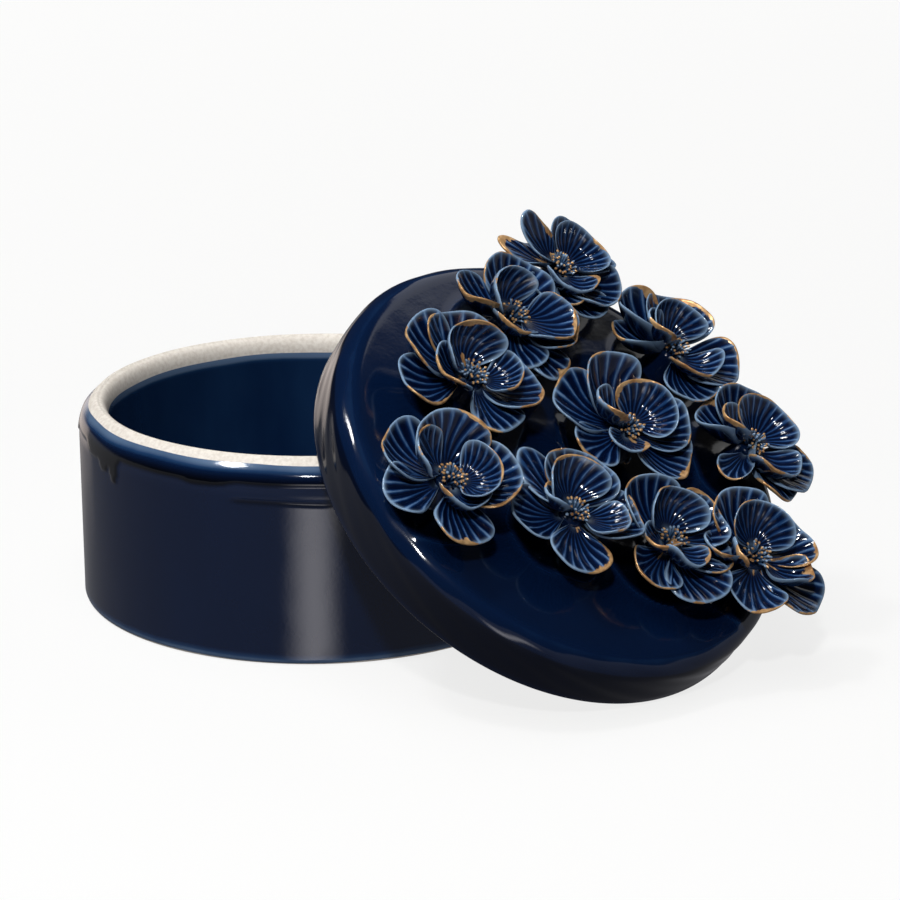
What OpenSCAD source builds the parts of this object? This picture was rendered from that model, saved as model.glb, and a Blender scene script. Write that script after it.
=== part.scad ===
// Round glazed trinket box. The lid, topped with ten hand-built flowers, leans on the open pot.
// +X is the way the lid leans out from the pot, +Z is up. The origin is the middle of the
// pot's flat underside, on the table.

/* [Pot] */
// Outer diameter of the pot
pot_d = 130; // [120:1:140]
// Height of the pot, table to rim
pot_h = 55; // [50:1:65]
// Thickness of the pot's wall
wall_t = 8; // [7:0.5:9]
// Thickness of the pot's floor
floor_t = 7; // [5:0.5:9]
// How far the pot's outer shoulder curves in towards the rim
rim_round = 5.5; // [4:0.25:6]
// How far down the pot's outer shoulder reaches
rim_drop = 10; // [6:0.5:12]
// How far down the rim's inner slope reaches
lip_drop = 4.5; // [3:0.25:6]
// Radius of the corner between the inner wall and the floor
well_round = 6; // [4:0.5:8]
// Radius of the foot's edge
foot_round = 1.2; // [0.8:0.1:2]

/* [Lid] */
// Outer diameter of the lid
lid_d = 130; // [124:1:134]
// Thickness of the lid at its edge
lid_h = 16.5; // [15:0.5:18]
// Radius of the lid's top shoulder
lid_shoulder = 6; // [4:0.5:8]
// Radius of the lid's bottom edge
lid_edge = 1; // [0.6:0.1:1.5]
// Clearance between the locating ring and the pot's wall
ring_gap = 1; // [0.5:0.1:1.5]
// Width of the locating ring
ring_w = 5; // [4:0.5:7]
// Depth of the locating ring under the lid
ring_depth = 3; // [2:0.5:3.5]
// Angle at which the lid leans
lean = 40.5; // [38:0.5:43]
// How far the leaning lid stands to the side of the pot's middle
lid_aside = 9; // [0:0.5:15]
// Gap left between the leaning lid and the rim that it rests on
rest_gap = 0.2; // [0.1:0.05:0.5]

/* [Flowers] */
// Thickness of a petal
petal_t = 1.2; // [1:0.1:1.5]
// Width of an outer petal as a part of its length
petal_spread = 0.88; // [0.6:0.02:0.9]
// Radius of a flower's clay button where it meets the lid
seat_r = 5; // [4:0.5:6]
// Number of stamens around a flower's centre
stamens = 7; // [5:1:9]

/* [Hidden] */
$fn = 96;
ARC_STEPS = 8;
GLAZE = [0.03, 0.07, 0.2];
PETAL_BLUE = [0.12, 0.22, 0.42];
INNER_BLUE = [0.2, 0.32, 0.55];
STAMEN_BLUE = [0.55, 0.66, 0.8];

pot_r = pot_d / 2;
well_r = pot_r - wall_t;
lid_r = lid_d / 2;
ring_r = well_r - ring_gap;

// The lid's place: its bottom edge stands on the table, and its underside meets the rim's shoulder.
shoulder_reach = sqrt(pow(rim_round * sin(lean), 2) + pow(rim_drop * cos(lean), 2));
rim_reach = (pot_r - rim_round) * sin(lean) + (pot_h - rim_drop) * cos(lean) + shoulder_reach;
lid_z = (lid_r - lid_edge) * sin(lean) - lid_edge * cos(lean) + lid_edge;
lid_x = (rim_reach + rest_gap - lid_z * cos(lean)) / sin(lean);

// How a flower is put together, measured up from the hub where its petals meet.
outer_start = [2.2, -2.4];    // radius and height at which the outer petals start
inner_start = [2.4, -1.3];    // radius and height at which the inner petals start
petal_root = 1;               // half width of a petal's root
petal_bow = 1.15;             // radius of a petal's dish as a part of its length
seat_top_r = 3.6;
seat_sink = 1.6;              // the button stops this far under the hub
stamen_r = 0.55;
stamen_len = 4.4;
stamen_ring = 2;
stamen_splay = 24;
stamen_cone = [2.6, 1.6, 3];  // bottom radius, top radius and height of the cone that holds them

// Each flower: place of its hub on the lid [down the slope, across, above the top], then its
// outer and its inner petals as [direction, rise, length, width as a part of the usual].
FLOWERS = [
    [[-25, -22, 10],
        [[170, 20, 19, 1], [-145, 12, 21, 0.9], [-105, 2, 21, 0.8], [0, 12, 18.5, 0.8],
         [50, 18, 19, 1]],
        [[-175, 42, 15, 1.15], [50, 38, 14, 0.9], [-105, 32, 14, 1]]],
    [[-38.5, 2.5, 11],
        [[140, 16, 19, 1.1], [-128, 18, 19, 0.85], [-30, 10, 18, 0.9], [8, 3, 21, 0.7],
         [47, 16, 19, 1]],
        [[-165, 50, 14, 1.1], [40, 24, 17, 1.1], [-50, 38, 12.5, 1]]],
    [[0.5, -48.5, 10],
        [[170, 42, 18.5, 1.15], [-145, 4, 20, 0.9], [-97, 0, 18.5, 0.8], [-18, 4, 19.5, 0.85],
         [60, 30, 18, 1.1]],
        [[-142, 36, 15, 0.9], [55, 46, 14, 1.1], [-20, 26, 12.5, 1]]],
    [[-48.5, 27.5, 12],
        [[-140, -2, 18, 0.6], [113, 4, 18, 1.1], [27, 18, 18.5, 1], [-5, 8, 17.5, 0.9],
         [-50, 12, 17, 0.9]],
        [[-140, 34, 19, 0.7], [105, 24, 14, 1.2], [-25, 32, 14, 1]]],
    [[-16.5, 46.5, 11],
        [[-155, 16, 20.5, 0.85], [-120, 6, 19, 0.7], [142, 16, 18, 1.1], [40, 15, 19, 1],
         [-18, 10, 19, 0.8]],
        [[165, 42, 14, 1.2], [-135, 38, 14, 0.8], [-5, 32, 15, 1]]],
    [[2, 13.5, 11],
        [[-175, 26, 21, 0.95], [-142, 4, 22.5, 0.9], [-82, 4, 18, 0.8], [28, 8, 19.5, 0.9],
         [66, 26, 17.5, 0.9]],
        [[108, 46, 15, 1.3], [-135, 34, 15, 0.8], [-45, 24, 10.5, 1]]],
    [[17, 50, 11],
        [[165, 20, 18, 1], [-140, 3, 18, 0.8], [-68, 2, 16.5, 0.6], [0, 4, 18, 0.8],
         [33, 10, 19, 1]],
        [[118, 28, 15, 1.3], [-140, 32, 14, 0.8], [-5, 27, 16, 1]]],
    [[19.5, -19.5, 10],
        [[-165, 16, 21, 0.7], [140, 22, 18, 1.1], [57, 16, 18, 1], [-30, 5, 18, 0.95],
         [-108, 5, 18, 0.9]],
        [[172, 38, 15.5, 1.25], [40, 32, 14.5, 0.85], [-125, 38, 12.5, 0.7]]],
    [[35, 3.5, 10],
        [[-170, 22, 18.5, 1.1], [98, 24, 18, 0.9], [50, 12, 17, 0.9], [0, 8, 19, 1],
         [-60, 5, 17, 0.9]],
        [[162, 42, 15, 1.3], [-12, 32, 12.5, 1], [-88, 34, 11.5, 0.9]]],
    [[47, 25, 11],
        [[180, 26, 19.5, 0.95], [92, 18, 18, 1], [-115, 18, 17, 0.7], [-42, 3, 18, 0.9],
         [26, 4, 21, 0.9]],
        [[152, 44, 15, 1.25], [28, 20, 16, 0.75], [-100, 40, 11.5, 0.7]]]
];
FLOWER_PARTS = ["seat", "outer_petals", "inner_petals", "stamens"];

function flower_name(i, part) = str("flower_", i < 9 ? "0" : "", i + 1, "_", part);

// Points of an arc about [x, y] with radii rx and ry, from angle a to angle b.
function oval(x, y, rx, ry, a, b) =
    [for (k = [0 : ARC_STEPS]) let (t = a + (b - a) * k / ARC_STEPS) [x + rx * cos(t), y + ry * sin(t)]];
function arc(x, y, r, a, b) = oval(x, y, r, r, a, b);

// Half of the pot's wall and floor, as radius and height.
module pot_profile() {
    polygon(concat(
        [[0, 0]],
        arc(pot_r - foot_round, foot_round, foot_round, -90, 0),
        oval(pot_r - rim_round, pot_h - rim_drop, rim_round, rim_drop, 0, 90),
        oval(pot_r - rim_round, pot_h - lip_drop, wall_t - rim_round, lip_drop, 90, 180),
        arc(well_r - well_round, floor_t + well_round, well_round, 0, -90),
        [[0, floor_t]]
    ));
}

module pot() {
    color(GLAZE) rotate_extrude() pot_profile();
}

// Half of the lid, lying flat, with its seating plane at height 0 and its locating ring below.
module lid_profile() {
    polygon(concat(
        [[0, 0], [ring_r - ring_w, 0], [ring_r - ring_w, -ring_depth + lid_edge / 2],
            [ring_r - ring_w + lid_edge / 2, -ring_depth], [ring_r - lid_edge, -ring_depth],
            [ring_r, -ring_depth + lid_edge], [ring_r, 0]],
        arc(lid_r - lid_edge, lid_edge, lid_edge, -90, 0),
        arc(lid_r - lid_shoulder, lid_h - lid_shoulder, lid_shoulder, 0, 90),
        [[0, lid_h]]
    ));
}

// Takes a piece that is drawn on a flat lid to where the leaning lid holds it.
module leaning() {
    translate([lid_x, lid_aside, lid_z]) rotate([0, lean, 0]) children();
}

module lid() {
    color(GLAZE) leaning() rotate_extrude() lid_profile();
}

// Takes a piece drawn about a flower's hub to that flower.
module at_hub(i) {
    hub = FLOWERS[i][0];
    leaning() translate([hub[0], hub[1], lid_h + hub[2]]) children();
}

// A petal's flat outline along +X: a narrow root that opens into a round head.
module petal_outline(length, width) {
    head = width / 2;
    polygon(concat(
        [[0, -petal_root]],
        [for (t = [-105 : 15 : 105]) [length - head + head * cos(t), head * sin(t)]],
        [[0, petal_root]]
    ));
}

// A petal is a dished shell, cut to its outline, whose root and tip lie on the X axis.
module petal(length, width) {
    bow = petal_bow * length;
    centre = [length / 2, 0, sqrt(bow * bow - length * length / 4)];
    intersection() {
        translate([0, 0, -length]) linear_extrude(2 * length) petal_outline(length, width);
        difference() {
            translate(centre) sphere(bow + petal_t / 2);
            translate(centre) sphere(bow - petal_t / 2);
        }
    }
}

// A ring of petals that start at [radius, height] from the hub.
module petals(list, start) {
    for (p = list) {
        rotate([0, 0, p[0]]) translate([start[0], 0, start[1]]) rotate([0, -p[1], 0])
            petal(p[2] - start[0], petal_spread * p[2] * p[3]);
    }
}

module seat(i) {
    hub_h = FLOWERS[i][0][2];
    color(GLAZE) at_hub(i) translate([0, 0, -hub_h])
        cylinder(h = hub_h - seat_sink, r1 = seat_r, r2 = seat_top_r);
}

module outer_petals(i) {
    color(PETAL_BLUE) at_hub(i) petals(FLOWERS[i][1], outer_start);
}

module inner_petals(i) {
    color(INNER_BLUE) at_hub(i) petals(FLOWERS[i][2], inner_start);
}

module stamen_cluster(i) {
    color(STAMEN_BLUE) at_hub(i) {
        translate([0, 0, -seat_sink])
            cylinder(h = stamen_cone[2], r1 = stamen_cone[0], r2 = stamen_cone[1]);
        for (k = [1 : stamens]) {
            rotate([0, 0, 360 * k / stamens]) translate([stamen_ring / 2, 0, 0])
                rotate([0, stamen_splay, 0]) cylinder(h = stamen_len, r = stamen_r);
        }
    }
}

pot();
lid();
for (i = [0 : len(FLOWERS) - 1]) {
    seat(i);
    outer_petals(i);
    inner_petals(i);
    stamen_cluster(i);
}
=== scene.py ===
# %% [markdown]
# # A glazed trinket box with a garden on its lid
#
# The real box is thrown stoneware under a deep navy glaze: an open round pot, and a thick round
# lid that carries ten hand-built flowers. The lid leans on the pot's rim. Everything that shows
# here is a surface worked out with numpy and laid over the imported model, which gives every size.
# The first cell loads that model and keeps the box it fills.

import bpy
import numpy as np
from mathutils import Matrix, Vector


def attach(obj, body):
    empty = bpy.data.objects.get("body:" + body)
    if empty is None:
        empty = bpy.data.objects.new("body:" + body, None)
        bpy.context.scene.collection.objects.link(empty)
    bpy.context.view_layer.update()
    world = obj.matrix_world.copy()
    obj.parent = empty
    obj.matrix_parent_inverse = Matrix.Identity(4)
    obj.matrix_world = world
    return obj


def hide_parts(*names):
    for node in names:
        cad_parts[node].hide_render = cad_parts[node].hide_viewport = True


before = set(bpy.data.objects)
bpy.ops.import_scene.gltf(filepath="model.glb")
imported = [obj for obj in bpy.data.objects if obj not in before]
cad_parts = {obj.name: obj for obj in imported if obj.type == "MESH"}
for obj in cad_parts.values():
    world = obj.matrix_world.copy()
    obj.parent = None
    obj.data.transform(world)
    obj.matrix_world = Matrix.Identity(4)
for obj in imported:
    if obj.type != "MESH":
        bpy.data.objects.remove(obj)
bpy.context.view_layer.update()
MM = 0.001

# %% [markdown]
# ## The camera
#
# A long lens a little under a metre away keeps the pot's rim a clean ellipse. The camera looks
# down by seventeen degrees across the front of the pot, so that the lid's face turns to us. Three
# directions, right, up and back, are the columns of its turning matrix.

# %% Place the camera
lens = bpy.data.cameras.new("studio_lens")
lens.lens, lens.sensor_width = 119.1, 36.0
camera = bpy.data.objects.new("studio_camera", lens)
bpy.context.scene.collection.objects.link(camera)
eye = Vector((588.43, -522.10, 285.36)) * MM
right = Vector((0.69799, 0.71610, -0.00047))
up = Vector((-0.21453, 0.20974, 0.95393))
turn = Matrix((right, up, right.cross(up))).transposed()
camera.matrix_world = Matrix.Translation(eye) @ turn.to_4x4()
bpy.context.scene.camera = camera
print("camera at", [round(c, 3) for c in eye])

# %% [markdown]
# ## The sizes that the looks share with the model
#
# The skins follow the same radii and heights as the solids under them. The leaning frame takes a
# point drawn on a flat lid to the place where the lid rests: it turns the lid about Y and then
# moves it out and up. All numbers are millimetres until a mesh is made.

# %% Repeat the model's main sizes
POT_R, POT_H, WALL, FLOOR = 65.0, 55.0, 8.0, 7.0
RIM_ROUND, RIM_DROP, LIP_DROP, WELL_ROUND, FOOT_ROUND = 5.5, 10.0, 4.5, 6.0, 1.2
LID_R, LID_H, LID_SHOULDER, LID_EDGE = 65.0, 16.5, 6.0, 1.0
RING_R, RING_W, RING_DEPTH = 56.0, 5.0, 3.0
LEAN, LID_ASIDE, REST_GAP = np.radians(40.5), 9.0, 0.2
shoulder_reach = np.hypot(RIM_ROUND * np.sin(LEAN), RIM_DROP * np.cos(LEAN))
rim_reach = (POT_R - RIM_ROUND) * np.sin(LEAN) + (POT_H - RIM_DROP) * np.cos(LEAN) + shoulder_reach
lid_z = (LID_R - LID_EDGE) * np.sin(LEAN) - LID_EDGE * np.cos(LEAN) + LID_EDGE
lid_x = (rim_reach + REST_GAP - lid_z * np.cos(LEAN)) / np.sin(LEAN)


def leaning(points):
    """Turns points of a flat lid about Y by the lean, then moves them to the lid's place."""
    x, y, z = points[..., 0], points[..., 1], points[..., 2]
    return np.stack([lid_x + x * np.cos(LEAN) + z * np.sin(LEAN), LID_ASIDE + y,
                     lid_z - x * np.sin(LEAN) + z * np.cos(LEAN)], axis=-1)


print("lid centre at", round(lid_x, 2), round(lid_z, 2))

# %% [markdown]
# ## From arrays to meshes
#
# One helper turns arrays of points and faces into a smooth mesh, and hangs named numbers on its
# points. The materials read those numbers: how thick the glaze lies, where it stops, where a
# petal is ribbed and where it is gilded.


# %% Make a mesh from arrays
def make_mesh(name, points, quads, tris, marks, body, node, material):
    """Points in millimetres, four-sided and three-sided faces, and one number a point for each
    mark, become one smooth piece that rides on a body and stands for a node."""
    corners = np.concatenate([quads.ravel(), tris.ravel()]).astype(np.int32)
    sizes = np.concatenate([np.full(len(quads), 4), np.full(len(tris), 3)]).astype(np.int32)
    mesh = bpy.data.meshes.new(name)
    mesh.vertices.add(len(points))
    mesh.vertices.foreach_set("co", (points * MM).astype(np.float32).ravel())
    mesh.loops.add(len(corners))
    mesh.loops.foreach_set("vertex_index", corners)
    mesh.polygons.add(len(sizes))
    mesh.polygons.foreach_set("loop_start", np.concatenate([[0], np.cumsum(sizes)[:-1]]).astype(np.int32))
    mesh.polygons.foreach_set("use_smooth", np.ones(len(sizes), bool))
    mesh.update(calc_edges=True)
    mesh.validate()
    for mark, values in marks.items():
        layer = mesh.attributes.new(mark, "FLOAT", "POINT")
        layer.data.foreach_set("value", np.asarray(values, np.float32).ravel())
    piece = bpy.data.objects.new(name, mesh)
    bpy.context.scene.collection.objects.link(piece)
    mesh.materials.append(material)
    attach(piece, body)
    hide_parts(node)
    return piece


def smooth_step(x, low, high):
    """Rises from 0 at low to 1 at high along three t squared less two t cubed."""
    t = np.clip((x - low) / (high - low), 0, 1)
    return t * t * (3 - 2 * t)


def wander(angle, seed, orders, size):
    """A closed line that wanders: a sum of cosines round the circle, each with a seeded phase."""
    rng = np.random.default_rng(seed)
    phases, weights = rng.uniform(0, 2 * np.pi, len(orders)), rng.uniform(0.5, 1, len(orders))
    waves = [w * np.cos(n * angle + p) for n, p, w in zip(orders, phases, weights)]
    return size * np.sum(waves, axis=0) / len(orders)


print("helpers ready")

# %% [markdown]
# ## The glaze
#
# A dark glaze on pale clay has three looks. Where it lies thick it is almost black, where it
# thins over an edge it breaks to a pale steel blue, and where it was wiped away the matte cream
# clay shows. The depth mark says how thick it lies, and in places it also carries painted light
# and shade: a painted lighter inside of the pot, a painted shadow of the flowers on the lid, a
# painted highlight along the lid's shoulder and painted shade on the lid's side. The mark `glaze`
# says where the glaze is at all. Slow noise makes faint streaks where it ran, and a very small
# bump keeps the reflections a little alive, as on a real kiln-fired skin.


# %% Small helpers for shader nodes
def new_material(name):
    """A node material with its principled shader and its node tree."""
    material = bpy.data.materials.new(name)
    material.use_nodes = True
    nodes, links = material.node_tree.nodes, material.node_tree.links
    return material, nodes, links, nodes["Principled BSDF"]


def mark_value(nodes, mark):
    """Reads a number that hangs on the mesh's points."""
    reader = nodes.new("ShaderNodeAttribute")
    reader.attribute_name = mark
    return reader.outputs["Fac"]


def noise_value(nodes, links, scale, detail=2.0, stretch=(1, 1, 1)):
    """Noise over Object coordinates; a stretch under 1 draws it out along that axis."""
    where = nodes.new("ShaderNodeTexCoord")
    mapping = nodes.new("ShaderNodeMapping")
    mapping.inputs["Scale"].default_value = stretch
    noise = nodes.new("ShaderNodeTexNoise")
    noise.inputs["Scale"].default_value = scale
    noise.inputs["Detail"].default_value = detail
    links.new(where.outputs["Object"], mapping.inputs["Vector"])
    links.new(mapping.outputs["Vector"], noise.inputs["Vector"])
    return noise.outputs["Fac"]


def calc(nodes, links, kind, a, b, c=None):
    """One arithmetic node; a, b and c are sockets or plain numbers."""
    node = nodes.new("ShaderNodeMath")
    node.operation = kind
    for socket, value in zip(node.inputs, (a, b, c)):
        if value is None:
            continue
        if isinstance(value, (int, float)):
            socket.default_value = value
        else:
            links.new(value, socket)
    return node.outputs[0]


def ramp(nodes, links, value, stops):
    """A colour ramp; each stop is a place from 0 to 1 and a colour."""
    node = nodes.new("ShaderNodeValToRGB")
    bar = node.color_ramp.elements
    while len(bar) < len(stops):
        bar.new(1.0)
    for mark, (place, colour) in zip(bar, stops):
        mark.position, mark.color = place, (*colour, 1)
    links.new(value, node.inputs["Fac"])
    return node.outputs["Color"]


def blend(nodes, links, factor, a, b):
    """Mixes two colours, sockets or plain, by a factor."""
    node = nodes.new("ShaderNodeMix")
    node.data_type = "RGBA"
    links.new(factor, node.inputs["Factor"])
    for socket, value in ((node.inputs[6], a), (node.inputs[7], b)):
        if isinstance(value, tuple):
            socket.default_value = (*value, 1)
        else:
            links.new(value, socket)
    return node.outputs[2]


def bump(nodes, links, height, distance, strength=1.0, under=None):
    """Turns a height into a shading normal, on top of another one if given."""
    node = nodes.new("ShaderNodeBump")
    node.inputs["Strength"].default_value = strength
    node.inputs["Distance"].default_value = distance
    links.new(height, node.inputs["Height"])
    if under is not None:
        links.new(under, node.inputs["Normal"])
    return node.outputs["Normal"]


# %% The navy glaze with its bare clay
DEEP, NAVY, THIN = (0.0009, 0.0036, 0.0150), (0.0016, 0.0092, 0.0380), (0.095, 0.155, 0.26)
CLAY, CLAY_DARK = (0.80, 0.75, 0.68), (0.68, 0.62, 0.55)


def navy_glaze():
    """Pale to navy to almost black with the depth mark, which holds glaze thickness plus painted light and
    shade; cream clay where the glaze mark is 0.
    """
    material, nodes, links, shader = new_material("navy_glaze")
    streaks = noise_value(nodes, links, 55, 3, (1, 1, 0.35))
    pool_and_painted_light = calc(nodes, links, "MULTIPLY_ADD", streaks, 0.5, mark_value(nodes, "pool_and_painted_light"))
    depth = calc(nodes, links, "MULTIPLY", pool_and_painted_light, 0.4)
    colour = ramp(nodes, links, depth, [(0.08, THIN), (0.22, (0.010, 0.036, 0.10)), (0.40, NAVY),
                                        (0.76, DEEP), (1.0, (0.0002, 0.0008, 0.0030))])
    grain = noise_value(nodes, links, 900, 4)
    clay = ramp(nodes, links, grain, [(0.35, CLAY_DARK), (0.62, CLAY)])
    glazed = ramp(nodes, links, mark_value(nodes, "glaze"), [(0.40, (0, 0, 0)), (0.60, (1, 1, 1))])
    links.new(blend(nodes, links, glazed, clay, colour), shader.inputs["Base Color"])
    links.new(calc(nodes, links, "MULTIPLY_ADD", glazed, -0.62, 0.72), shader.inputs["Roughness"])
    skin = bump(nodes, links, noise_value(nodes, links, 38, 2), 0.0006, 0.35)
    links.new(bump(nodes, links, grain, 0.00002, 0.5, skin), shader.inputs["Normal"])
    return material


NAVY_GLAZE = navy_glaze()
print("navy glaze has", len(NAVY_GLAZE.node_tree.nodes), "nodes")

# %% [markdown]
# ## Turned shapes
#
# The pot and the lid were turned on a wheel, so each is one profile carried round the axis. The
# profile is a row of straight runs and arcs from the axis under the piece to the axis on top.
# The hand shows in what is added along the profile's own normal: the glaze's slow waves, the
# roll where it pooled and the runs below it.


# %% Profiles and the turned mesh
def run(a, b, n):
    """n points on the straight way from a to b, without b itself."""
    t = np.arange(n)[:, None] / n
    return np.array(a, float) * (1 - t) + np.array(b, float) * t


def arc(x, z, r, start, stop, n, tall=None):
    """n + 1 points round a centre: the centre plus r times cosine and r, or tall, times sine."""
    t = np.radians(np.linspace(start, stop, n + 1))
    return np.stack([x + r * np.cos(t), z + (tall or r) * np.sin(t)], axis=1)


def profile_normal(profile):
    """The way out of the solid: the profile's direction turned a quarter to the right."""
    ahead = np.gradient(profile, axis=0)
    out = np.stack([ahead[:, 1], -ahead[:, 0]], axis=1)
    return out / np.linalg.norm(out, axis=1, keepdims=True)


def turned(profile, lift, sides):
    """Carries a profile round Z. lift is how far each point is moved along the profile's normal.
    Gives the points, the quads between rings and the triangles that close the two poles."""
    angle = 2 * np.pi * np.arange(sides) / sides
    out = profile_normal(profile)
    r = profile[:, :1] + out[:, :1] * lift
    z = profile[:, 1:] + out[:, 1:] * lift
    grid = np.stack([r * np.cos(angle), r * np.sin(angle), z], axis=-1).reshape(-1, 3)
    rings = len(profile)
    index = np.arange(rings * sides).reshape(rings, sides)
    nxt = np.roll(index, -1, axis=1)
    quads = np.stack([index[:-1], nxt[:-1], nxt[1:], index[1:]], axis=-1).reshape(-1, 4)
    bottom, top = len(grid), len(grid) + 1
    tris = np.concatenate([
        np.stack([np.full(sides, bottom), nxt[0], index[0]], axis=1),
        np.stack([np.full(sides, top), index[-1], nxt[-1]], axis=1)])
    poles = np.array([[0, 0, z[0].mean()], [0, 0, z[-1].mean()]])
    return np.concatenate([grid, poles]), quads, tris


def with_poles(values):
    """A mark given on the grid, with the poles' own values added at its end."""
    return np.concatenate([values.ravel(), [values[0].mean(), values[-1].mean()]])


SIDES = 512
ROUND = 2 * np.pi * np.arange(SIDES) / SIDES
print("a turned piece has", SIDES, "sides")

# %% [markdown]
# ## The pot
#
# The rim is wiped bare: its rounded top and a narrow band inside show the clay. On the outer
# shoulder the glaze starts thin and pale, pools into a dark roll and runs down in a few places.
# The roll is a film that is thickest above a wandering line, and each drip pulls that line down
# by e to the minus fourth power of its distance. Inside, the glaze starts a few millimetres under
# the rim, and the whole inside is painted lighter: painted light falling into the pot. The foot
# ring is bare too, so a fine light line shows where the pot meets the table.

# %% The pot's profile
well_r = POT_R - WALL
pot_profile = np.concatenate([
    run((0.5, 0), (POT_R - FOOT_ROUND, 0), 12),
    arc(POT_R - FOOT_ROUND, FOOT_ROUND, FOOT_ROUND, -90, 0, 6),
    run((POT_R, FOOT_ROUND + 0.4), (POT_R, 34), 18),
    run((POT_R, 34), (POT_R, POT_H - RIM_DROP - 0.2), 24),
    arc(POT_R - RIM_ROUND, POT_H - RIM_DROP, RIM_ROUND, 0, 90, 30, RIM_DROP),
    arc(POT_R - RIM_ROUND, POT_H - LIP_DROP, WALL - RIM_ROUND, 90, 180, 14, LIP_DROP)[1:],
    run((well_r, POT_H - LIP_DROP - 0.3), (well_r, 46), 10),
    run((well_r, 46), (well_r, FLOOR + WELL_ROUND + 0.3), 14),
    arc(well_r - WELL_ROUND, FLOOR + WELL_ROUND, WELL_ROUND, 0, -90, 10),
    run((well_r - WELL_ROUND - 1, FLOOR), (0.5, FLOOR), 14),
    [[0.5, FLOOR]]])
step = np.linalg.norm(np.diff(pot_profile, axis=0), axis=1)
along = np.concatenate([[0], np.cumsum(step)])[:, None]
crest = along[np.argmax(pot_profile[:, 1])]
print("pot profile", len(pot_profile), "points,", round(float(along[-1, 0])), "mm long")


# %% The pot's glaze
def runs_below(height, angle, drips):
    """How much glaze hangs at a height: 1 above a wandering line that dips at each drip. A drip
    is an angle in degrees, a half width in degrees and a lowest height."""
    line = 48.6 + wander(angle, 3, (2, 3, 5, 9, 17), 0.9)
    for at, half, low in drips:
        gap = np.abs((angle - np.radians(at) + np.pi) % (2 * np.pi) - np.pi) / np.radians(half)
        line = line - (48.6 - low) * np.exp(-gap ** 4)
    return smooth_step(height, line - 0.35, line + 0.5)


DRIPS = [(-107.6, 4.5, 46.0), (-101.4, 2.4, 44.0), (-97, 1.8, 42.0), (-68, 6, 47.4), (-131, 4.0, 46.0),
         (-20, 3, 45.5), (8, 1.4, 43.2), (40, 4, 46.4), (75, 1.6, 42.5), (84, 3.2, 45.6),
         (128, 2.0, 43.6), (171, 4.0, 46.2), (-160, 3.2, 45.2)]
height = pot_profile[:, 1:]
is_outside = along < crest
hang = runs_below(height, ROUND, DRIPS) * is_outside
top_line = crest - 3.2 + wander(ROUND, 5, (1, 3, 4, 7, 13), 0.6)
well_line = along[np.argmax((along > crest) & (height < 50.6))] + wander(ROUND, 8, (2, 3, 5, 11), 0.35)
foot_line = along[12] + 1.3 + wander(ROUND, 9, (3, 5, 8), 0.25)
glazed_out = smooth_step(along, foot_line - 0.3, foot_line + 0.3) \
    * (1 - smooth_step(along, top_line - 0.3, top_line + 0.3))
glazed = glazed_out + smooth_step(along, well_line - 0.3, well_line + 0.3)
from_edge = np.minimum(np.abs(along - top_line), np.abs(along - foot_line) * 1.5)
from_edge = np.minimum(from_edge, np.abs(along - well_line) * 1.6)
ridge = np.exp(-((height - 44.3 - wander(ROUND, 4, (5, 9, 14), 0.5)) / 0.6) ** 2) * is_outside \
    * smooth_step(np.cos(ROUND - np.radians(-50)), np.cos(np.radians(13)), np.cos(np.radians(9)))
# The minus 0.36 past the crest paints the whole inside lighter: painted light falling into the pot.
pool_and_painted_light = 0.02 + 0.90 * smooth_step(from_edge, 0.5, 4.5) - 0.36 * (along > crest) \
    + 1.50 * hang * smooth_step(from_edge, 2.0, 6.0) + 0.9 * ridge
film = 0.12 * glazed * smooth_step(from_edge, 0, 1.2) + 0.42 * hang * smooth_step(from_edge, 0.6, 3) \
    + 0.22 * ridge + 0.10 * wander(ROUND, 6, (2, 3, 5), 1.0) * (height > 3)
points, quads, tris = turned(pot_profile, film, SIDES)
make_mesh("pot_skin", points, quads, tris, {"pool_and_painted_light": with_poles(pool_and_painted_light), "glaze": with_poles(glazed)},
          "pot", "pot", NAVY_GLAZE)
print("pot skin:", len(quads), "quads")

# %% [markdown]
# ## The flowers' plan
#
# Each flower is rolled clay: five ribbed petals outside, three inside and a tuft of stamens,
# pressed onto a button on the lid. A row below gives a flower's hub on the flat lid, down the
# slope, across and above its top, and then its petals: direction and rise in degrees, length,
# width as a part of the usual, and a shape. The maker's hand gave each petal its own turn, so
# the shapes have names: open, spoon, lip, fold and spear.

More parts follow.
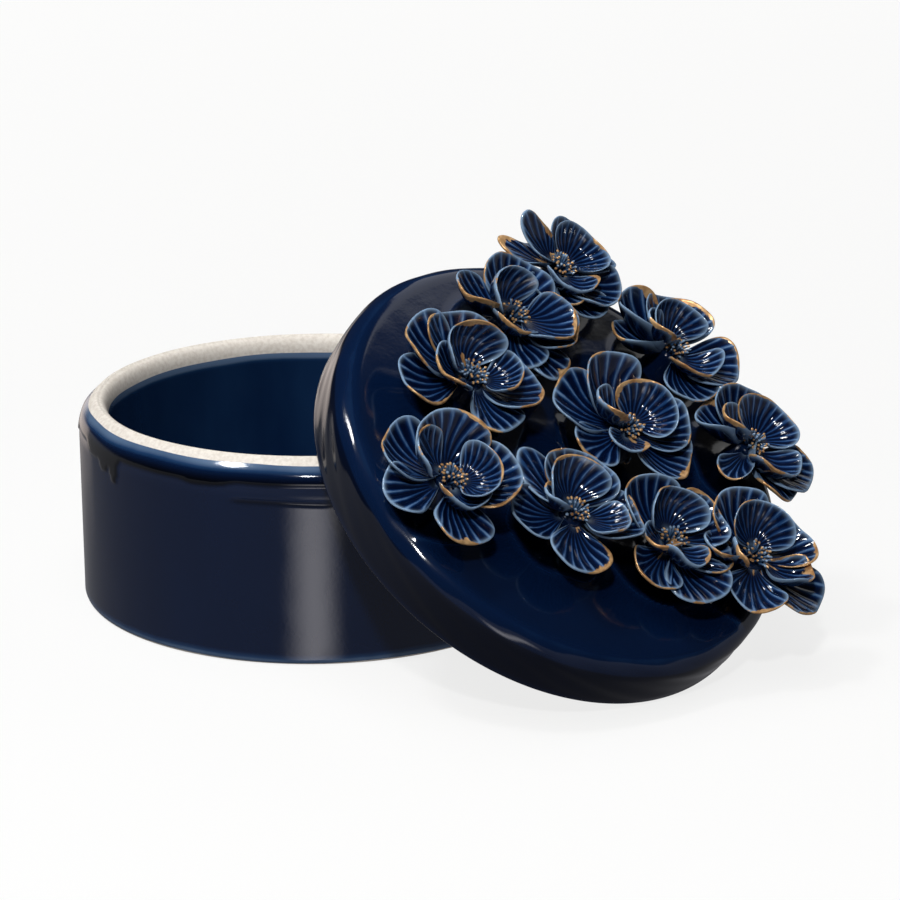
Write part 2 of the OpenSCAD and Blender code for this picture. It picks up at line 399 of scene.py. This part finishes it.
# %% The plan of the ten flowers
FLOWERS = [
    ((-25, -22, 10),
     [(170, 20, 19, 1, "open"), (-145, 12, 21, 0.9, "open"), (-105, 2, 21, 0.8, "open"),
      (0, 12, 18.5, 0.8, "open"), (50, 18, 19, 1, "open")],
     [(-175, 42, 15, 1.15, "spoon"), (50, 38, 14, 0.9, "spoon"), (-105, 32, 14, 1, "lip")]),
    ((-38.5, 2.5, 11),
     [(140, 16, 19, 1.1, "open"), (-128, 18, 19, 0.85, "fold"), (-30, 10, 18, 0.9, "open"),
      (8, 3, 21, 0.7, "open"), (47, 16, 19, 1, "open")],
     [(-165, 50, 14, 1.1, "spoon"), (40, 24, 17, 1.1, "open"), (-50, 38, 12.5, 1, "lip")]),
    ((0.5, -48.5, 10),
     [(170, 42, 18.5, 1.15, "open"), (-145, 4, 20, 0.9, "open"), (-97, 0, 18.5, 0.8, "open"),
      (-18, 4, 19.5, 0.85, "open"), (60, 30, 18, 1.1, "open")],
     [(-142, 36, 15, 0.9, "spoon"), (55, 46, 14, 1.1, "spoon"), (-20, 26, 12.5, 1, "lip")]),
    ((-48.5, 27.5, 12),
     [(-140, 4, 19, 0.55, "spear"), (113, 4, 18, 1.1, "open"), (27, 18, 18.5, 1, "open"),
      (-5, 8, 17.5, 0.9, "open"), (-50, 12, 17, 0.9, "open")],
     [(-146, 36, 19, 0.56, "spear"), (105, 24, 14, 1.2, "spoon"), (-25, 32, 14, 1, "lip")]),
    ((-16.5, 46.5, 11),
     [(-155, 16, 20.5, 0.85, "fold"), (-120, 6, 19, 0.7, "fold"), (142, 16, 18, 1.1, "open"),
      (40, 15, 19, 1, "open"), (-18, 10, 19, 0.8, "open")],
     [(165, 42, 14, 1.2, "spoon"), (-135, 38, 14, 0.8, "fold"), (-5, 32, 15, 1, "lip")]),
    ((2, 13.5, 11),
     [(-175, 26, 21, 0.95, "open"), (-142, 4, 22.5, 0.9, "open"), (-82, 4, 18, 0.8, "open"),
      (28, 8, 19.5, 0.9, "open"), (66, 26, 17.5, 0.9, "open")],
     [(108, 46, 15, 1.3, "spoon"), (-135, 34, 15, 0.8, "fold"), (-45, 24, 10.5, 1, "lip")]),
    ((17, 50, 11),
     [(165, 20, 18, 1, "open"), (-140, 3, 18, 0.8, "fold"), (-68, 2, 16.5, 0.6, "fold"),
      (0, 4, 18, 0.8, "open"), (33, 10, 19, 1, "open")],
     [(118, 28, 15, 1.3, "spoon"), (-140, 32, 14, 0.8, "fold"), (-5, 27, 16, 1, "lip")]),
    ((19.5, -19.5, 10),
     [(-165, 16, 21, 0.7, "spear"), (140, 22, 18, 1.1, "open"), (57, 16, 18, 1, "open"),
      (-30, 5, 18, 0.95, "open"), (-108, 5, 18, 0.9, "open")],
     [(172, 38, 15.5, 1.25, "spoon"), (40, 32, 14.5, 0.85, "spoon"),
      (-125, 38, 12.5, 0.7, "fold")]),
    ((35, 3.5, 10),
     [(-170, 22, 18.5, 1.1, "open"), (98, 24, 18, 0.9, "open"), (50, 12, 17, 0.9, "open"),
      (0, 8, 19, 1, "open"), (-60, 5, 17, 0.9, "open")],
     [(162, 42, 15, 1.3, "spoon"), (-12, 32, 12.5, 1, "lip"), (-88, 34, 11.5, 0.9, "fold")]),
    ((47, 25, 11),
     [(180, 26, 19.5, 0.95, "open"), (92, 18, 18, 1, "open"), (-115, 18, 17, 0.7, "fold"),
      (-42, 3, 18, 0.9, "open"), (26, 4, 21, 0.9, "open")],
     [(152, 44, 15, 1.25, "spoon"), (28, 20, 16, 0.75, "spoon"), (-100, 40, 11.5, 0.7, "lip")]),
]
OUTER_START, INNER_START = (2.2, -2.4), (2.4, -1.3)
print(len(FLOWERS), "flowers,", sum(len(f[1]) + len(f[2]) for f in FLOWERS), "petals")


def at_hub(points, hub):
    """Moves points drawn about a hub to that flower's place on the leaning lid."""
    return leaning(points + np.array([hub[0], hub[1], LID_H + hub[2]]))


# %% [markdown]
# ## The lid
#
# The lid is one thick disc with a soft shoulder. Its glaze is heavy, so it climbs a little way
# up each flower's button and stands round the whole bed of flowers in a low wandering ridge, the
# edge of the slip that the maker stuck them down with. The height of the top is that of the
# profile plus a sum over the flowers: a part that dies away from each button, and a ridge at a
# set distance from the nearest one. Inside the bed the colour is painted almost black: a painted
# shadow of the flowers. A band along the shoulder is painted lighter as a painted highlight, and
# the lower side is painted darker as painted shade. On the lid's side the glaze runs in slanting
# waves, which is what bends the reflections there. The underside is wiped bare.

# %% The lid's profile and the bed of flowers
lid_profile = np.concatenate([
    run((0.5, 0), (RING_R - RING_W - 0.3, 0), 14),
    run((RING_R - RING_W, -0.3), (RING_R - RING_W, -RING_DEPTH + 0.5), 3),
    arc(RING_R - RING_W + 0.5, -RING_DEPTH + 0.5, 0.5, 180, 270, 4),
    arc(RING_R - 1, -RING_DEPTH + 1, 1, -90, 0, 5),
    run((RING_R, -RING_DEPTH + 1.4), (RING_R, -0.2), 3),
    run((RING_R + 0.2, 0), (LID_R - LID_EDGE - 0.3, 0), 4),
    arc(LID_R - LID_EDGE, LID_EDGE, LID_EDGE, -90, 0, 6),
    run((LID_R, LID_EDGE + 0.4), (LID_R, LID_H - LID_SHOULDER - 0.3), 10),
    arc(LID_R - LID_SHOULDER, LID_H - LID_SHOULDER, LID_SHOULDER, 0, 90, 16),
    run((LID_R - LID_SHOULDER - 0.9, LID_H), (0.5, LID_H), 60),
    [[0.5, LID_H]]])
hubs = np.array([f[0][:2] for f in FLOWERS], float)


def bed(x, y):
    """Distance to the nearest hub, made smooth: minus the logarithm of the summed decays."""
    gaps = np.hypot(x[..., None] - hubs[:, 0], y[..., None] - hubs[:, 1])
    return gaps.min(axis=-1), -2.2 * np.log(np.exp(-gaps / 2.2).sum(axis=-1))


flat_x, flat_y = lid_profile[:, :1] * np.cos(ROUND), lid_profile[:, :1] * np.sin(ROUND)
nearest, spread = bed(flat_x, flat_y)
on_top = lid_profile[:, 1:] > LID_H - 0.5
edge_line = 14.2 + wander(ROUND, 21, (3, 5, 8, 13, 19), 2.2)
on_side = smooth_step(lid_profile[:, :1], LID_R - 4, LID_R - 1)
slip = np.exp(-((spread - edge_line) / 0.9) ** 2) * on_top
climb = np.exp(-np.clip(nearest - 4.6, 0, None) / 1.1) * on_top
film = 0.30 * slip + 1.0 * climb + 0.10 * smooth_step(edge_line - spread, 0, 2) * on_top \
    + (0.10 * wander(ROUND, 22, (2, 3, 5), 1.0)
       + 0.36 * wander(ROUND + 0.05 * lid_profile[:, 1:], 25, (9, 14, 23), 1.0) * on_side) \
    * (lid_profile[:, 1:] > 2)
lid_along = np.concatenate([[0], np.cumsum(np.linalg.norm(np.diff(lid_profile, axis=0), axis=1))])[:, None]
bare_line = lid_along[np.argmax(lid_profile[:, 0] > LID_R - LID_EDGE - 0.2)] + 0.9 \
    + wander(ROUND, 23, (3, 5, 8), 0.25)
lid_glazed = smooth_step(lid_along, bare_line - 0.25, bare_line + 0.25)
# Inside the bed of flowers the depth is pushed up to almost black: a painted shadow of the flowers.
lid_pool_and_painted_light = 0.15 + 0.75 * smooth_step(lid_along - bare_line, 0, 2.5) - 0.38 * slip \
    + (0.15 + 1.35 * smooth_step(edge_line - spread, 0, 2.5)) * on_top
# Painted highlight: a band along the shoulder is made lighter. Painted shade: the lower side is made
# darker.
painted_shoulder_highlight = np.exp(-((lid_profile[:, :1] - (LID_R - 3.2)) / 1.6) ** 2) * (lid_profile[:, 1:] > LID_H - 5)
lid_pool_and_painted_light = lid_pool_and_painted_light - 0.22 * painted_shoulder_highlight + 0.9 * on_side * (lid_profile[:, 1:] < LID_H - 4)
points, quads, tris = turned(lid_profile, film, SIDES)
make_mesh("lid_skin", leaning(points), quads, tris,
          {"pool_and_painted_light": with_poles(lid_pool_and_painted_light), "glaze": with_poles(lid_glazed)},
          "lid", "lid", NAVY_GLAZE)
print("lid skin:", len(quads), "quads")

# %% [markdown]
# ## The buttons under the flowers
#
# Each flower sits on a small button of clay. It flares into the lid with a soft fillet, and its
# side is a little lumpy where fingers pressed it. The radius falls with height along a half
# cosine, and slow waves round the circle make the lumps.

# %% Turn the buttons
SEAT_R, SEAT_TOP, SEAT_SINK = 5.0, 3.6, 1.6
for k, (hub, outer, inner) in enumerate(FLOWERS):
    name = f"flower_{k + 1:02d}_seat"
    rise = np.linspace(0, 1, 16)[:, None]
    top = hub[2] - SEAT_SINK
    side = SEAT_TOP + (SEAT_R - SEAT_TOP) * (0.5 + 0.5 * np.cos(np.pi * rise))
    profile = np.concatenate([[[0.3, 0]], np.concatenate([side, top * rise], axis=1), [[0.3, top]]])
    ring = 2 * np.pi * np.arange(48) / 48
    lumps = wander(ring, 60 + k, (2, 3, 5), 0.35) * (profile[:, :1] > 1)
    points, quads, tris = turned(profile, lumps, 48)
    even = np.full(len(points), 1.0)
    make_mesh(name + "_skin", at_hub(points - [0, 0, hub[2]], hub), quads, tris,
              {"pool_and_painted_light": even, "glaze": even}, "lid", name, NAVY_GLAZE)
print("buttons:", len(FLOWERS))

# %% [markdown]
# ## The petals' glaze
#
# The same glaze runs off the ribs and gathers between them, so a petal is pale steel blue on its
# ribs and its lip and almost black in its grooves. Gold lustre was brushed on some lips and
# fired last: it is a metal, a little rough, and it stops in ragged patches, which noise cuts
# out of the `gold` mark.


# %% The petal glaze and the stamen glaze
def lustre_glaze(name, stops, lip, gloss):
    """Colour along a ramp by the rib mark and noise, paler at the lip, and gold where marked."""
    material, nodes, links, shader = new_material(name)
    mottle = noise_value(nodes, links, 420, 3)
    depth = calc(nodes, links, "MULTIPLY_ADD", mottle, 0.30, mark_value(nodes, "rib"))
    colour = ramp(nodes, links, calc(nodes, links, "SUBTRACT", depth, 0.15), stops)
    colour = blend(nodes, links, mark_value(nodes, "lip"), colour, lip)
    patches = calc(nodes, links, "MULTIPLY_ADD", noise_value(nodes, links, 700, 3), 1.1,
                   mark_value(nodes, "gold"))
    gilt = ramp(nodes, links, calc(nodes, links, "SUBTRACT", patches, 0.55),
                [(0.42, (0, 0, 0)), (0.55, (1, 1, 1))])
    gold = ramp(nodes, links, mottle, [(0.3, (0.42, 0.20, 0.07)), (0.7, (0.88, 0.56, 0.27))])
    links.new(blend(nodes, links, gilt, colour, gold), shader.inputs["Base Color"])
    links.new(calc(nodes, links, "MULTIPLY", gilt, 0.45), shader.inputs["Metallic"])
    links.new(calc(nodes, links, "MULTIPLY_ADD", gilt, 0.22, gloss), shader.inputs["Roughness"])
    links.new(bump(nodes, links, noise_value(nodes, links, 260, 2), 0.0002, 0.3), shader.inputs["Normal"])
    return material


PETAL_GLAZE = lustre_glaze("petal_glaze", [(0.0, (0.0010, 0.004, 0.020)), (0.35, (0.0022, 0.012, 0.055)),
                                           (0.66, (0.016, 0.054, 0.150)), (1.0, (0.16, 0.27, 0.45))],
                           (0.24, 0.36, 0.52), 0.09)
STAMEN_GLAZE = lustre_glaze("stamen_glaze", [(0.0, (0.004, 0.014, 0.05)), (0.5, (0.05, 0.11, 0.22)),
                                             (1.0, (0.30, 0.42, 0.58))], (0.38, 0.50, 0.66), 0.12)
print("petal and stamen glazes ready")

# %% [markdown]
# ## A petal
#
# A petal opens like a fan from its root. Each point has a place t across the fan, from -1 to 1,
# and a place s along its ray, from 0 at the root to 1 at the lip, so the ribs are simply a wave
# in t. The lip's distance from the root falls away to both sides, which rounds the head. The
# sheet is dished along and across, and its shape bends it further: the tip curls, a side folds
# up, the lip ruffles. The upper and the lower skin share the points of the lip, where the
# thickness closes in a quarter round.

# %% The petal's surface
ROWS, COLS, PETAL_T = 27, 83, 1.0
SHAPES = {  # dish along, dish across, tip curl, fold, twist in degrees, point of the tip
    "open": (0.15, 0.23, 0.03, 0.00, 0, 0.00),
    "spoon": (0.20, 0.27, -0.03, 0.00, 0, 0.00),
    "lip": (0.22, 0.24, 0.04, 0.00, 0, 0.00),
    "fold": (0.16, 0.28, 0.03, 0.24, 12, 0.05),
    "spear": (0.10, 0.34, 0.10, 0.14, -10, 0.44),
}


def fan_radius(t, point):
    """How far the lip is from the root across the fan: a rounded head that can end in a point."""
    head = np.clip(1 - np.abs(t) ** 3.2, 0, 1) ** 0.42
    return head * (1 - point * (1 - np.exp(-(t / 0.30) ** 2)))


def fan_angle(width, point):
    """The half angle of the fan that gives a petal of length 1 the wanted width."""
    t = np.linspace(0, 1, 200)
    angles = np.radians(np.linspace(8, 86, 60))
    widths = 2 * (fan_radius(t, point) * np.sin(angles[:, None] * t)).max(axis=1)
    return np.interp(width, widths, angles)


def petal(length, width, shape, rng):
    """The two skins of a petal lying along +X with its root at the origin, and its marks. The sheet's
    height is a parabola along it plus one across it, less the tip's curl, plus a fold and waves;
    the ribs are a cosine across the fan raised to a power."""
    dish, cross, curl, fold, twist, point = SHAPES[shape]
    dish, cross = dish * rng.uniform(0.8, 1.25), cross * rng.uniform(0.8, 1.25)
    curl, twist = curl + rng.uniform(-0.05, 0.07), np.radians(twist + rng.uniform(-13, 13))
    tau = np.linspace(-1, 1, COLS)[None, :]
    t = 0.45 * tau + 0.55 * np.sin(np.pi / 2 * tau)
    s = 1 - (1 - np.linspace(0, 1, ROWS)[:, None]) ** 1.35
    waves = 1 + 0.035 * np.sin(3.1 * t + rng.uniform(0, 6)) + 0.014 * np.sin(8 * t + rng.uniform(0, 6))
    lip_at = fan_radius(t, point) * waves
    half = fan_angle(width / length, point)
    rho = 0.6 + s * (length * lip_at - 0.6)
    x, y = rho * np.cos(half * t), rho * np.sin(half * t)
    slope = np.gradient(lip_at[0], half * t[0])[None, :]
    to_lip = (1 - s) * length * lip_at ** 2 / np.hypot(lip_at, slope)
    to_lip = np.minimum(to_lip, s * length * 0.5 + 0.35)

    z = 4 * dish * (x * x / length - x) + 4 * cross * y * y / length
    z = z - curl * length * np.clip((s - 0.55) / 0.45, 0, 1) ** 2
    z = z + fold * length * np.clip(t, 0, 1) ** 2 * s ** 1.5 * 1.6
    y = y * (1 - 1.2 * fold * np.clip(t, 0, 1) ** 2 * s)
    z = z + 0.018 * length * s ** 3 * np.sin(5.5 * half * t + rng.uniform(0, 6))
    z = z + 0.007 * length * s ** 4 * np.sin(13 * half * t + rng.uniform(0, 6))
    count = max(6, round(9.0 * half / np.radians(50)))
    drift = 0.22 * np.sin(4.3 * t + rng.uniform(0, 6)) + 0.12 * np.sin(9 * s + 5 * t + rng.uniform(0, 6))
    wave = 0.5 + 0.5 * np.cos(2 * np.pi * (count / 2 * t + drift * 0.5))
    crest = wave ** 2.4 * smooth_step(s, 0.02, 0.30)
    rib = wave ** 1.3 * smooth_step(s, 0.02, 0.30) * (0.25 + 0.75 * smooth_step(to_lip, 0.4, 3.4))
    round_lip = np.sqrt(1 - (1 - np.clip(to_lip / 0.55, 0, 1)) ** 2)
    round_lip[:, [0, -1]] = round_lip[[0, -1], :] = 0
    upper = z + round_lip * PETAL_T / 2 + 0.34 * (rib - 0.30) * round_lip * (0.35 + 0.65 * s)
    lower = z - round_lip * PETAL_T / 2 + 0.18 * (0.4 - rib) * round_lip

    gilt_at, gilt_half = rng.uniform(-0.7, 0.7), rng.uniform(0.12, 0.9)
    brush = np.exp(-((t - gilt_at) / gilt_half) ** 2) * rng.uniform(0.15, 0.5)
    brush = brush + np.exp(-((t - gilt_at) / 0.25) ** 2) * rng.uniform(0, 1.45) ** 2
    brush = brush * (0.85 + 0.4 * np.sin(11 * t + rng.uniform(0, 6)))
    gold = np.clip(1.15 - to_lip / (0.15 + 1.35 * brush), 0, 1) * np.clip(2.6 * brush, 0, 1)
    lip = 0.95 * np.exp(-(to_lip / 0.62) ** 1.6)
    marks = {"rib": crest * (0.45 + 0.55 * s), "lip": lip, "gold": gold}
    skins = []
    for sheet in (upper, lower):
        bend = twist * x / length
        skins.append(np.stack([x, y * np.cos(bend) - sheet * np.sin(bend),
                               y * np.sin(bend) + sheet * np.cos(bend)], axis=-1))
    return skins, marks


def petal_faces():
    """Quads of the upper skin and, turned over, of the lower one, which shares its border."""
    top = np.arange(ROWS * COLS).reshape(ROWS, COLS)
    low = top.copy()
    low[1:-1, 1:-1] = ROWS * COLS + np.arange((ROWS - 2) * (COLS - 2)).reshape(ROWS - 2, COLS - 2)
    up = np.stack([top[:-1, :-1], top[1:, :-1], top[1:, 1:], top[:-1, 1:]], axis=-1).reshape(-1, 4)
    down = np.stack([low[:-1, :-1], low[:-1, 1:], low[1:, 1:], low[1:, :-1]], axis=-1).reshape(-1, 4)
    return np.concatenate([up, down])


PETAL_QUADS = petal_faces()
PETAL_POINTS = ROWS * COLS + (ROWS - 2) * (COLS - 2)
print("a petal has", PETAL_POINTS, "points and", len(PETAL_QUADS), "quads")


# %% Set the petals round their hubs
def place_petal(points, direction, rise, start, extra):
    """Raises a petal about its root, moves it out from the hub and turns it to its direction."""
    a, r = np.radians(direction), np.radians(rise)
    x, y, z = points[..., 0], points[..., 1], points[..., 2]
    out = start[0] + x * np.cos(r) - z * np.sin(r)
    high = start[1] + extra + x * np.sin(r) + z * np.cos(r)
    return np.stack([out * np.cos(a) - y * np.sin(a), out * np.sin(a) + y * np.cos(a), high], axis=-1)


def petal_ring(name, node, hub, plan, start, spread, seed):
    """All petals of a ring as one piece: upper skins, then lower skins without their borders."""
    rng = np.random.default_rng(seed)
    points, marks = [], {"rib": [], "lip": [], "gold": []}
    for n, (direction, rise, length, width, shape) in enumerate(plan):
        skins, numbers = petal(length - start[0], spread * length * width, shape, rng)
        upper, lower = [place_petal(p, direction, rise, start, 0.35 * (n % 2)) for p in skins]
        points += [upper.reshape(-1, 3), lower[1:-1, 1:-1].reshape(-1, 3)]
        for mark, values in numbers.items():
            values = np.broadcast_to(values, (ROWS, COLS))
            dull = 0.55 if mark == "rib" else 1.0
            marks[mark] += [values.ravel(), dull * values[1:-1, 1:-1].ravel()]
    quads = np.concatenate([PETAL_QUADS + n * PETAL_POINTS for n in range(len(plan))])
    return make_mesh(name, at_hub(np.concatenate(points), hub), quads, np.zeros((0, 3), int),
                     {m: np.concatenate(v) for m, v in marks.items()}, "lid", node,
                     PETAL_GLAZE)


for k, (hub, outer, inner) in enumerate(FLOWERS):
    flower = f"flower_{k + 1:02d}_"
    petal_ring(flower + "outer_skin", flower + "outer_petals", hub, outer, OUTER_START, 1.02, 100 + k)
    petal_ring(flower + "inner_skin", flower + "inner_petals", hub, inner, INNER_START, 1.10, 200 + k)
print("petal rings:", 2 * len(FLOWERS))

# %% [markdown]
# ## The stamens
#
# The heart of each flower is a tuft of short clay threads that end in beads, pale where the
# glaze ran off them and gilded at some tips. Each thread is a tube round a bent line. Its radius
# is thin along the stalk and swells to the bead by half a circle, so that the tube closes by
# itself. All threads of a flower are one array: thread, ring and side.

# %% The tuft of threads
THREADS, THREAD_RINGS, THREAD_SIDES = 38, 11, 7


def tuft(k):
    """Threads that start on a small disc, each turned by the golden angle from the last, lean
    outwards by a few degrees plus a multiple of the foot's radius, and bend over towards their
    beads with the square of v, the part of the way up."""
    rng = np.random.default_rng(300 + k)
    n = np.arange(THREADS)[:, None, None]
    way = 2.399963 * n + rng.uniform(-0.3, 0.3, n.shape)
    foot = 3.1 * np.sqrt((n + 0.5) / THREADS)
    lean = np.radians(4 + 13 * foot + rng.uniform(-12, 12, n.shape))
    tall = rng.uniform(2.0, 3.3, n.shape) - 0.25 * foot
    v = np.linspace(0, 1, THREAD_RINGS)[None, :, None] ** 0.85
    out = foot * 0.8 + tall * (v * np.sin(lean) + 0.16 * v * v)
    high = -1.2 + (tall + 1.0) * (v * np.cos(lean) - 0.10 * v * v)
    bead = rng.uniform(0.27, 0.43, n.shape)
    ball = np.sqrt(np.clip(1 - ((v - 0.86) / 0.14) ** 2, 0, 1)) * bead
    radius = np.where(v > 0.86, ball, np.maximum(ball, 0.20 + 0.10 * (1 - v)))
    side = 2 * np.pi * np.arange(THREAD_SIDES)[None, None, :] / THREAD_SIDES
    flat = out + radius * np.cos(side)
    across = radius * np.sin(side)
    points = np.stack([flat * np.cos(way) - across * np.sin(way),
                       flat * np.sin(way) + across * np.cos(way),
                       high - radius * np.cos(side) * np.sin(lean) * 0.8], axis=-1)
    gilded = (rng.uniform(0, 1, n.shape) < 0.65) * smooth_step(v, 0.66, 0.9)
    full = np.ones((THREADS, THREAD_RINGS, THREAD_SIDES))
    return points, {"rib": (0.15 + 0.75 * v) * full, "lip": 0.0 * full, "gold": 0.75 * gilded * full}


for k, (hub, outer, inner) in enumerate(FLOWERS):
    name = f"flower_{k + 1:02d}_stamens"
    points, marks = tuft(k)
    index = np.arange(points[..., 0].size).reshape(points.shape[:3])
    nxt = np.roll(index, -1, axis=2)
    quads = np.stack([index[:, :-1], nxt[:, :-1], nxt[:, 1:], index[:, 1:]], axis=-1).reshape(-1, 4)
    ends = points.mean(axis=2)[:, [0, -1]]
    last = index.size + np.arange(2 * THREADS).reshape(THREADS, 2)
    tris = np.concatenate([
        np.stack([np.broadcast_to(last[:, :1], index[:, 0].shape), nxt[:, 0], index[:, 0]], axis=-1),
        np.stack([np.broadcast_to(last[:, 1:], index[:, 0].shape), index[:, -1], nxt[:, -1]], axis=-1)])
    cloud = np.concatenate([points.reshape(-1, 3), ends.reshape(-1, 3)])
    marks = {m: np.concatenate([v.ravel(), v[:, [0, -1], 0].ravel()]) for m, v in marks.items()}
    make_mesh(name + "_skin", at_hub(cloud, hub), quads, tris.reshape(-1, 3), marks, "lid", name,
              STAMEN_GLAZE)
print("threads:", THREADS * len(FLOWERS))

# %% [markdown]
# ## The studio
#
# The box stands on a white sheet that curves up at its far edge. Glossy glaze shows whatever is
# round it, so the sheet is left out of reflections and a dim world takes its place there: grey
# below the horizon and almost black above, with one bright soft window low in front and a warm
# one to the left. A box behind gives the broad grey reflection on the lid, two small strong lamps
# give the sparks, and a wide one above fills the colours without being seen in the glaze.

# %% The sheet under the box
SHEET_MID, SHEET_FAR = 0.80, 0.96
sweep = np.concatenate([run((0.02, 0), (2500, 0), 40), arc(2500, 700, 700, -90, -10, 12)])
points, quads, tris = turned(sweep, np.zeros((len(sweep), 96)), 96)
sheet_mesh = bpy.data.meshes.new("white_sheet")
sheet_mesh.from_pydata((points * MM).tolist(), [], quads[:, ::-1].tolist())
sheet = bpy.data.objects.new("white_sheet", sheet_mesh)
bpy.context.scene.collection.objects.link(sheet)
paper, nodes, links, shader = new_material("white_paper")
shader.inputs["Base Color"].default_value = (0.16, 0.16, 0.16, 1)
shader.inputs["Roughness"].default_value = 1.0
shader.inputs["Specular IOR Level"].default_value = 0.0
shader.inputs["Emission Color"].default_value = (1, 1, 0.995, 1)
spot = nodes.new("ShaderNodeTexCoord")
reach = nodes.new("ShaderNodeVectorMath")
reach.operation = "LENGTH"
links.new(spot.outputs["Object"], reach.inputs[0])
glow = nodes.new("ShaderNodeMapRange")
for socket, value in (("From Min", 0.20), ("From Max", 1.60), ("To Min", SHEET_MID), ("To Max", SHEET_FAR)):
    glow.inputs[socket].default_value = value
links.new(reach.outputs["Value"], glow.inputs["Value"])
links.new(glow.outputs["Result"], shader.inputs["Emission Strength"])
sheet_mesh.materials.append(paper)
sheet.visible_diffuse = False
sheet.visible_glossy = False
sheet.visible_shadow = False
print("sheet laid")


# %% The world seen in the glaze
def window(nodes, links, way, azimuth, elevation, half_wide, half_high, soft):
    """1 inside a patch of the world about a direction, in degrees, with soft sides, else 0."""
    sides = []
    round_about = calc(nodes, links, "ARCTAN2", way.outputs["Y"], way.outputs["X"])
    upwards = calc(nodes, links, "ARCSINE", way.outputs["Z"], 0.0)
    for here, want, half in ((round_about, azimuth, half_wide), (upwards, elevation, half_high)):
        off = calc(nodes, links, "SUBTRACT", here, float(np.radians(want)))
        off = calc(nodes, links, "ABSOLUTE", off, 0.0)
        edge = nodes.new("ShaderNodeMapRange")
        edge.interpolation_type = "SMOOTHSTEP"
        edge.inputs["From Min"].default_value = float(np.radians(half + soft))
        edge.inputs["From Max"].default_value = float(np.radians(max(half - soft, 0.3)))
        links.new(off, edge.inputs["Value"])
        sides.append(edge.outputs["Result"])
    return calc(nodes, links, "MULTIPLY", *sides)


world = bpy.data.worlds.new("dim_studio")
bpy.context.scene.world = world
world.use_nodes = True
nodes, links = world.node_tree.nodes, world.node_tree.links
where = nodes.new("ShaderNodeTexCoord")
way = nodes.new("ShaderNodeSeparateXYZ")
links.new(where.outputs["Generated"], way.inputs["Vector"])
sky = ramp(nodes, links, calc(nodes, links, "MULTIPLY_ADD", way.outputs["Z"], 0.5, 0.5),
           [(0.0, (0.08, 0.08, 0.09)), (0.40, (0.22, 0.22, 0.23)), (0.485, (0.28, 0.28, 0.28)),
            (0.51, (0.03, 0.03, 0.03)), (1.0, (0.02, 0.02, 0.022))])
front = window(nodes, links, way, -44.3, -20.5, 8.5, 3.4, 8.0)
side = window(nodes, links, way, 165.0, -6.0, 14.0, 9.0, 5.0)
FRONT_LIGHT, SIDE_LIGHT = (3.3, 3.2, 3.3), (1.15, 1.00, 0.92)
lit = blend(nodes, links, side, blend(nodes, links, front, sky, FRONT_LIGHT), SIDE_LIGHT)
links.new(lit, nodes["Background"].inputs["Color"])
print("world has", len(nodes), "nodes")


# %% The lamps
def soft_box(name, place, aim, wide, high, radiance):
    """A rectangular lamp at a place, facing a point. Its power is pi times area times radiance."""
    lamp = bpy.data.lights.new(name, "AREA")
    lamp.shape, lamp.size, lamp.size_y = "RECTANGLE", wide, high
    lamp.energy = float(np.pi * wide * high * radiance)
    holder = bpy.data.objects.new(name, lamp)
    bpy.context.scene.collection.objects.link(holder)
    gaze = (Vector(aim) - Vector(place)).normalized()
    holder.matrix_world = Matrix.Translation(place) @ gaze.to_track_quat("-Z", "Y").to_matrix().to_4x4()
    return holder


soft_box("back_box", (-0.19, 0.90, 1.05), (-0.19, 0.0, 1.05), 0.86, 0.80, 0.85)
soft_box("key_lamp", (0.80, -0.85, 1.05), (0.06, 0.0, 0.05), 0.10, 0.10, 320.0)
soft_box("spark_box", (-0.25, -0.55, 1.25), (0.06, 0.0, 0.05), 0.16, 0.16, 60.0)
soft_box("top_box", (-0.10, -0.45, 1.30), (0.0, 0.0, 0.05), 1.8, 1.3, 2.0).visible_glossy = False
bpy.context.scene.view_settings.view_transform = "Standard"
print("lamps set")
